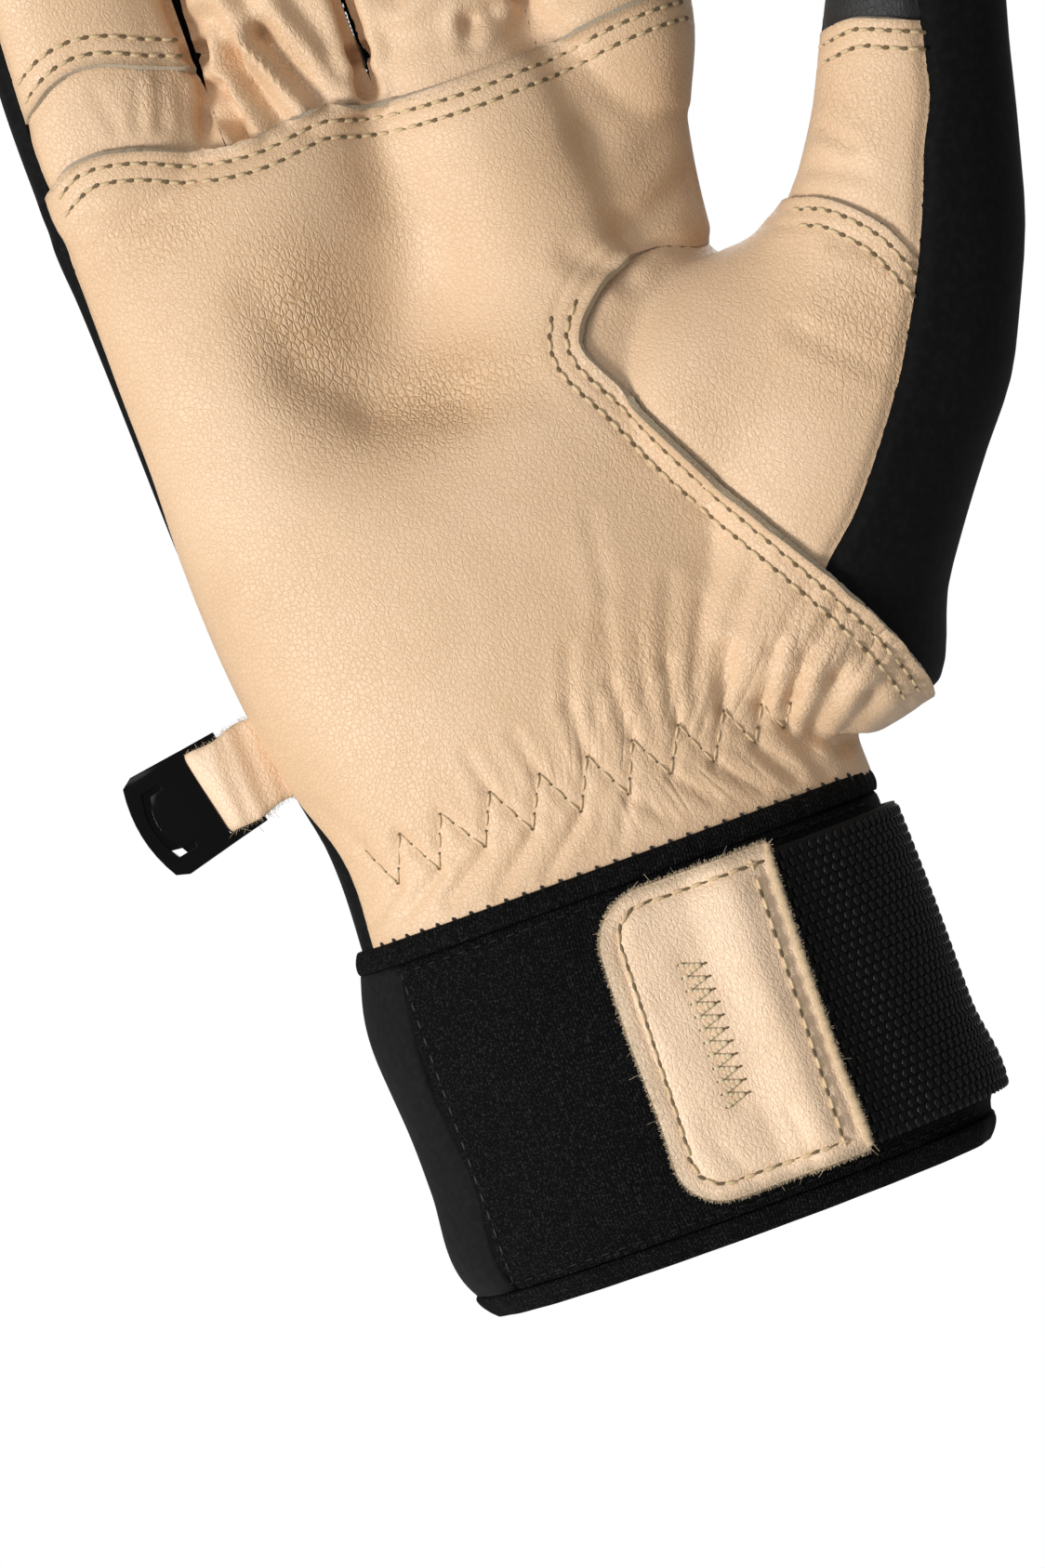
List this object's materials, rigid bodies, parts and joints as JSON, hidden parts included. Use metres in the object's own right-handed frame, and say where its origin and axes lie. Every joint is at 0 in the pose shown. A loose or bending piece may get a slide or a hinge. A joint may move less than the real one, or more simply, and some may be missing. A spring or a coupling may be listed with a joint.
{
  "type": "ski glove",
  "caption": "Hollow right-hand ski glove in its worn form, with a leather palm, fabric back, knit cuff, strap closure and hanging clip.",
  "frame": {"origin": "centre of the opening at the cuff's hem, where the wrist goes in", "axes": "+Z from the hem towards the fingertips, -Y out of the palm's face, +X towards the thumb"},
  "size_m": [0.1627, 0.0614, 0.2501],
  "materials": {
    "tan_leather": "matt full-grain leather with raw suede edges",
    "black_stretch_fabric": "matt woven stretch fabric",
    "black_textured_leather": "matt textured grip patch",
    "black_rib_knit": "matt knit",
    "black_webbing": "coarse woven webbing",
    "black_plastic": "glossy"
  },
  "bodies": {
    "root": {"clip_loop": "tan_leather", "closure_strap": "black_webbing", "cuff_back": "black_stretch_fabric", "cuff_binding": "black_stretch_fabric", "cuff_hem": "black_rib_knit", "cuff_knit": "black_rib_knit", "glove_clip": "black_plastic", "hand_back_fabric": "black_stretch_fabric", "index_back_fabric": "black_stretch_fabric", "index_base_leather": "tan_leather", "index_tip_leather": "tan_leather", "little_back_fabric": "black_stretch_fabric", "little_base_leather": "tan_leather", "little_tip_leather": "tan_leather", "middle_back_fabric": "black_stretch_fabric", "middle_base_leather": "tan_leather", "middle_tip_leather": "tan_leather", "palm_leather": "tan_leather", "ring_back_fabric": "black_stretch_fabric", "ring_base_leather": "tan_leather", "ring_tip_leather": "tan_leather", "strap_tab": "tan_leather", "thumb_back_fabric": "black_stretch_fabric", "thumb_lower_leather": "tan_leather", "thumb_tip_patch": "black_textured_leather", "thumb_upper_leather": "tan_leather"}
  },
  "joints": []
}
